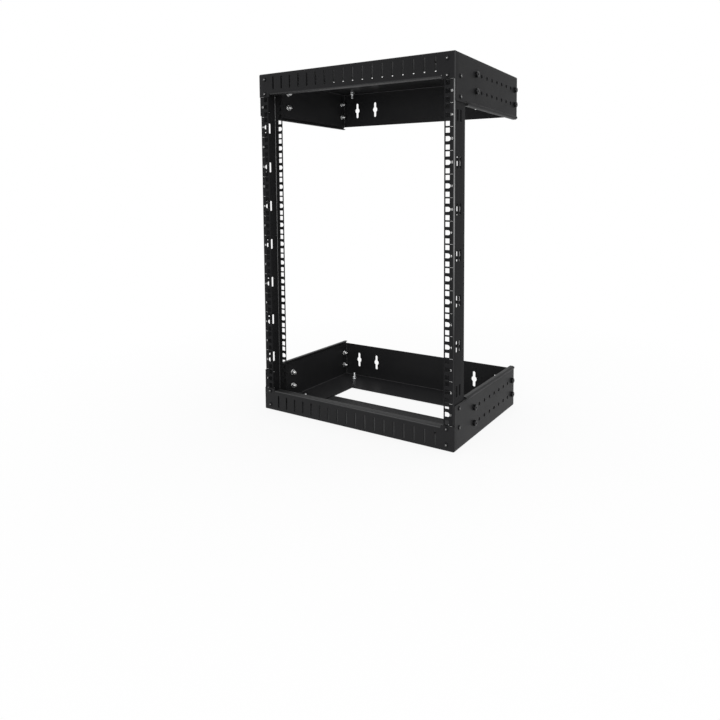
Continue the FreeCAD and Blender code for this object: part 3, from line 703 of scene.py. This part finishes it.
def metal_parts(name, grids, paint, node, coated):
    """A piece of several metal parts, with sharp edges kept sharp. Each of its points keeps
    how much of the black finish it still has in the attribute coated."""
    points, faces = welded(grids)
    piece = make_piece(name, points, faces, paint, [node])
    piece.data.set_sharp_from_angle(angle=SHARP)
    share = piece.data.attributes.new("coated", "FLOAT", "POINT")
    share.data.foreach_set("value", coated(points).astype(np.float32))


def black_outside(points):
    """The black finish of what lies outside the arms, where what lies inside is bare."""
    return (abs(points[:, 0]) > HALF - GAUGE / 2) * 1.0


SPOTS, STAINS, RAGGED, COVER = (700, 2), (160, 3), 0.3, (0.35, 0.95)
STAINED, STAIN_DULLER = 0.75, 0.15


def screw_steel(name, plating, black, rough, metal):
    """Zinc plated steel under a black finish. The attribute coated mixes the two, a fine
    noise breaks the line between them, and a cloudy noise dulls the plating in places."""
    paint = bpy.data.materials.new(name)
    paint.use_nodes = True
    tree = paint.node_tree
    shader = tree.nodes["Principled BSDF"]
    spots, stains = noise(tree, *SPOTS), noise(tree, *STAINS)
    ragged = tree.nodes.new("ShaderNodeMath")
    ragged.operation = "MULTIPLY_ADD"
    tree.links.new(spots, ragged.inputs[0])
    ragged.inputs[1].default_value = RAGGED
    tree.links.new(carried(tree, "coated"), ragged.inputs[2])
    zinc = mixed(tree, stains, shade(plating, STAINED), plating)
    cover = ranged(tree, ragged.outputs[0], (0, 1), COVER)
    tree.links.new(mixed(tree, cover, zinc, black), shader.inputs["Base Color"])
    tree.links.new(ranged(tree, stains, (rough, rough + STAIN_DULLER)), shader.inputs["Roughness"])
    shader.inputs["Metallic"].default_value = metal
    return paint


screw_finish = screw_steel("blackened_screw_steel", plating=(0.85, 0.85, 0.84),
                           black=(0.018, 0.018, 0.019), rough=0.2, metal=1)
socket = np.minimum(hexagon(ROUND, SOCKET * np.ones(2)), SOCKET * SOCKET_CORNER)
bolt_form = turned(
    ROUND, ((-SHANK, -SHANK, -SHANK + TIP), (0, TIP_RADIUS, ROOT)),
    thread(THREAD_LONG, ROUND, -SHANK + TIP),
    ((-SHANK + TIP + THREAD_LONG, 0, 0, HEAD_EDGE), (CREST, CREST, HEAD - HEAD_EDGE, HEAD)),
    (HEAD_HIGH - HEAD_DROP + HEAD_DROP * np.sin(TURN), HEAD - HEAD_ROUND + HEAD_ROUND * np.cos(TURN)),
    ((HEAD_HIGH, HEAD_HIGH - SOCKET_DEEP), socket),
    ((HEAD_HIGH - SOCKET_DEEP - SOCKET_POINT,), (0,)))
for tray in ("bottom", "top"):
    for side, hand in HANDS:
        metal_parts("depth_bolts_%s_%s" % (tray, hand),
                    [placed(bolt_form, tray_place(tray, side * (HALF + WASHER_HIGH), y, u),
                            (side, 0, 0)) for y, u in BOLT_SPOTS],
                    screw_finish, "%s_%s_depth_bolts" % (tray, hand),
                    black_outside)

# Washers of the depth bolts: a black one under each head and a zinc one under each nut.
# They are stamped, so one edge is a little rounder than the other.
WASHER, WASHER_BORE = 6.5, 3.2
WASHER_CUT, WASHER_ROUND, WASHER_DROP = 0.15, 0.3, 0.35
INSIDE = HALF - 2 * GAUGE
washer_form = turned(
    ROUND, ((0, 0, WASHER_CUT, WASHER_HIGH - WASHER_DROP, WASHER_HIGH, WASHER_HIGH, 0),
            (WASHER_BORE, WASHER - WASHER_CUT, WASHER, WASHER, WASHER - WASHER_ROUND,
             WASHER_BORE, WASHER_BORE)))
for tray in ("bottom", "top"):
    for side, hand in HANDS:
        grids = [placed(washer_form, tray_place(tray, side * HALF, y, u), (side, 0, 0))
                 for y, u in BOLT_SPOTS]
        grids += [placed(washer_form, tray_place(tray, side * INSIDE, y, u), (-side, 0, 0))
                  for y, u in BOLT_SPOTS]
        metal_parts("depth_washers_%s_%s" % (tray, hand), grids, screw_finish,
                    "%s_%s_depth_washers" % (tray, hand), black_outside)

# Nuts of the depth bolts: zinc plated hexagon nuts, cut off round at the corners of both
# faces, with a countersunk bore.
NUT_CORNERS, NUT_HIGH, NUT_BORE = 11.5, 5.0, 2.75
NUT_FLAT = NUT_CORNERS / 2 * math.cos(math.pi / 6)
NUT_CUT, NUT_FACE, NUT_SINK = 0.6, 0.97, 0.35


def bare(points):
    """No black finish at all."""
    return 0 * points[:, 0]


zinc_plate = screw_steel("zinc_plated_steel", plating=(0.9, 0.91, 0.92), black=(0.16, 0.16, 0.165),
                         rough=0.14, metal=0.9)
full = hexagon(ROUND, NUT_FLAT)
cut = np.minimum(full, NUT_FLAT * NUT_FACE)
bored, sunk = NUT_BORE + 0 * full, NUT_BORE + NUT_SINK + 0 * full
nut_form = turned(ROUND, ((0, 0, NUT_CUT, NUT_HIGH - NUT_CUT, NUT_HIGH, NUT_HIGH,
                           NUT_HIGH - NUT_SINK, NUT_SINK, 0),
                          np.hstack((sunk, cut, full, full, cut, sunk, bored, bored, sunk))))
for tray in ("bottom", "top"):
    for side, hand in HANDS:
        metal_parts("depth_nuts_%s_%s" % (tray, hand),
                    [placed(nut_form, tray_place(tray, side * (INSIDE - WASHER_HIGH), y, u),
                            (-side, 0, 0)) for y, u in BOLT_SPOTS],
                    zinc_plate, "%s_%s_depth_nuts" % (tray, hand), bare)

# Floor screws: countersunk screws that hold the two floors of a tray together, their
# bright threads standing up inside, each with a washer and a nut.
SINK_HIGH, SINK_HEAD, SINK_EDGE, FLOOR_SHANK = 3.0, 5.85, 0.25, 20.0
SINK_SOCKET, SINK_SOCKET_DEEP, SINK_SOCKET_POINT = 1.9, 1.6, 0.4
sink_form = turned(
    ROUND, ((-FLOOR_SHANK, -FLOOR_SHANK, -FLOOR_SHANK + TIP), (0, TIP_RADIUS, ROOT)),
    thread(FLOOR_SHANK - SINK_HIGH - TIP, ROUND, -FLOOR_SHANK + TIP),
    ((-SINK_HIGH, -SINK_EDGE, 0), (CREST, SINK_HEAD, SINK_HEAD)),
    ((0, -SINK_SOCKET_DEEP), np.minimum(socket, SINK_SOCKET)),
    ((-SINK_SOCKET_DEEP - SINK_SOCKET_POINT,), (0,)))
for tray, down in (("bottom", -1), ("top", 1)):
    metal_parts("floor_screws_" + tray,
                [placed(sink_form, tray_place(tray, x, y, 0), (0, 0, down)) for x, y in FLOOR_SPOTS],
                zinc_plate, tray + "_floor_screws", bare)
    grids = [placed(washer_form, tray_place(tray, x, y, 2 * GAUGE), (0, 0, -down))
             for x, y in FLOOR_SPOTS]
    grids += [placed(nut_form, tray_place(tray, x, y, 2 * GAUGE + WASHER_HIGH), (0, 0, -down))
              for x, y in FLOOR_SPOTS]
    metal_parts("floor_nuts_" + tray, grids, zinc_plate, tray + "_floor_nuts", bare)

# Pan head screws: small black ones with a cross recess. The black finish is left off the middle
# of each head, so the bright plating there is a painted highlight of the dome. They hold the rails to
# the beams and to the arms.
PAN, PAN_HIGH, PAN_EDGE, PAN_RIM, PAN_DROP, PAN_ROUND = 4.5, 2.0, 0.3, 0.1, 1.2, 1.5
PAN_SHANK, PAN_LONG, PAN_TIP_RADIUS = 2.5, 8.0, 2.0
CROSS_WIDE, CROSS_REACH, CROSS_DEEP, CROSS_POINT, CROSS_NARROWS = 0.55, 2.3, 0.9, 0.5, 0.8
FLATTEST = 0.05
# How much black finish a pan head has at its rim, past full cover, and the distance from its middle
# in millimetres inside which the black thins out to leave a painted highlight of bright plating.
COVERED, HIGHLIGHT_REACH = 1.2, 1.9
quarter = np.radians((0, 7, 13.5, 21, 30, 45, 60, 69, 76.5, 83))
CROSS_ROUND = np.append(np.add.outer(np.arange(4) * math.pi / 2, quarter), 2 * math.pi)[:, None]


def bare_middle_highlight(centres, axes):
    """A rule for the black finish of screw heads: none at the middle of each, which leaves the
    bright plating there as a painted highlight, and growing with the square of the distance from it
    up to the reach set above, measured along the two axes."""
    def coated(points):
        far = np.min([np.hypot(*(points - centre)[:, axes].T) for centre in centres], axis=0)
        return COVERED * np.clip(far / HIGHLIGHT_REACH, 0, 1) ** 2
    return coated


# The cross has four equal arms. At an angle off an arm's middle its rim is the end of the
# arm, or the arm's side where that is nearer.
off_axis = abs((CROSS_ROUND + math.pi / 4) % (math.pi / 2) - math.pi / 4)
cross = np.minimum(CROSS_REACH / np.cos(off_axis),
                   CROSS_WIDE / np.sin(np.maximum(off_axis, FLATTEST)))
pan_form = turned(
    CROSS_ROUND, ((-PAN_LONG, -PAN_LONG, -PAN_LONG + TIP, 0, 0, PAN_EDGE),
                  (0, PAN_TIP_RADIUS, PAN_SHANK, PAN_SHANK, PAN - PAN_RIM, PAN)),
    (PAN_HIGH - PAN_DROP + PAN_DROP * np.sin(TURN), PAN - PAN_ROUND + PAN_ROUND * np.cos(TURN)),
    ((PAN_HIGH, PAN_HIGH - CROSS_DEEP), np.hstack((cross, cross * CROSS_NARROWS))),
    ((PAN_HIGH - CROSS_DEEP - CROSS_POINT,), (0,)))
for tray in ("bottom", "top"):
    centres = [tray_place(tray, x, 0, u) for x in (-COLUMN, COLUMN) for u in BEAM_SCREWS]
    metal_parts("beam_screws_" + tray,
                [placed(pan_form, centre, (0, -1, 0)) for centre in centres], screw_finish,
                tray + "_beam_screws", bare_middle_highlight(centres, [0, 2]))
    for side, hand in HANDS:
        centres = [tray_place(tray, side * HALF, ARM_SCREW_BACK, u) for u in ARM_SCREWS]
        metal_parts("arm_screws_%s_%s" % (tray, hand),
                    [placed(pan_form, centre, (side, 0, 0)) for centre in centres], screw_finish,
                    "%s_%s_arm_screws" % (tray, hand),
                    bare_middle_highlight(centres, [1, 2]))

# Printed marks: the unit numbers and the lines between the units, in white ink on the
# front flange of each rail, beside the holes and near the fold.
INK_THICK, INK_GRAIN, INK_ROUGH = 0.06, 1500, 0.6
INK_THIN, INK_FULL = (0.55, 0.55, 0.55, 1), (0.82, 0.82, 0.81, 1)
NUMBER_TALL, NUMBER_BOLD, NUMBER_OFF, NUMBER_STEPS, FIGURE_SHARE = 4.0, 0.14, 241.8, 3, 0.7
LINE_OFF, HALF_LINE, LINE_STEPS = (238.6, 244.8), 0.28, 13
ink = bpy.data.materials.new("white_ink")
ink.use_nodes = True
ink_nodes, ink_links = ink.node_tree.nodes, ink.node_tree.links
ink_tone = ink_nodes.new("ShaderNodeValToRGB")
ink_tone.color_ramp.elements[0].color = INK_THIN
ink_tone.color_ramp.elements[1].color = INK_FULL
ink_links.new(noise(ink.node_tree, INK_GRAIN), ink_tone.inputs["Fac"])
ink_links.new(ink_tone.outputs["Color"], ink_nodes["Principled BSDF"].inputs["Base Color"])
ink_nodes["Principled BSDF"].inputs["Roughness"].default_value = INK_ROUGH


def unit_number(side, unit):
    """The number of a unit as points and faces: Blender's own figures, whose height is
    FIGURE_SHARE of their size, stood up against the flange in the middle of the unit."""
    figure = bpy.data.curves.new("unit_figure", "FONT")
    figure.body = str(unit + 1)
    figure.size, figure.align_x, figure.align_y = NUMBER_TALL / FIGURE_SHARE, "CENTER", "CENTER"
    figure.extrude, figure.resolution_u = INK_THICK / 2, NUMBER_STEPS
    figure.offset = NUMBER_BOLD
    shape = bpy.data.objects.new("unit_figure", figure)
    solid = bpy.data.meshes.new_from_object(shape)
    bpy.data.objects.remove(shape)
    flat = np.array([point.co for point in solid.vertices])
    points = np.stack((side * NUMBER_OFF + flat[:, 0],
                       FACE + RAIL_FRONT - INK_THICK / 2 - flat[:, 2],
                       unit_z[unit] + MIDDLE + flat[:, 1]), -1)
    return points, [list(face.vertices) for face in solid.polygons]


def unit_line(side, z):
    """A line between two units: a flat bar with round ends, as a profile that goes out from
    its middle line, up by the ink's thickness and back, carried round the angle."""
    angle = np.linspace(0, 2 * math.pi, LINE_STEPS)[:, None]
    reach = HALF_LINE * np.array((0, 1, 1, 0))
    ends = (sum(LINE_OFF) + np.sign(np.cos(angle)) * (LINE_OFF[1] - LINE_OFF[0])) / 2
    middle = np.where(reach == 0, sum(LINE_OFF) / 2, ends)
    return rail_place(side, middle + reach * np.cos(angle),
                      RAIL_FRONT - INK_THICK * np.array((0, 0, 1, 1)),
                      z + side * reach * np.sin(angle))


for side, hand in HANDS:
    points, faces, count = [], [], 0
    for unit in range(UNITS):
        number_points, number_faces = unit_number(side, unit)
        points.append(number_points)
        faces += [[point + count for point in face] for face in number_faces]
        count += len(number_points)
    make_piece("unit_numbers_" + hand, np.concatenate(points), faces, ink, [])
    points, faces = welded([whole(unit_line(side, z)) for z in np.append(unit_z, unit_z[-1] + UNIT)])
    make_piece("unit_lines_" + hand, points, faces, ink, [])
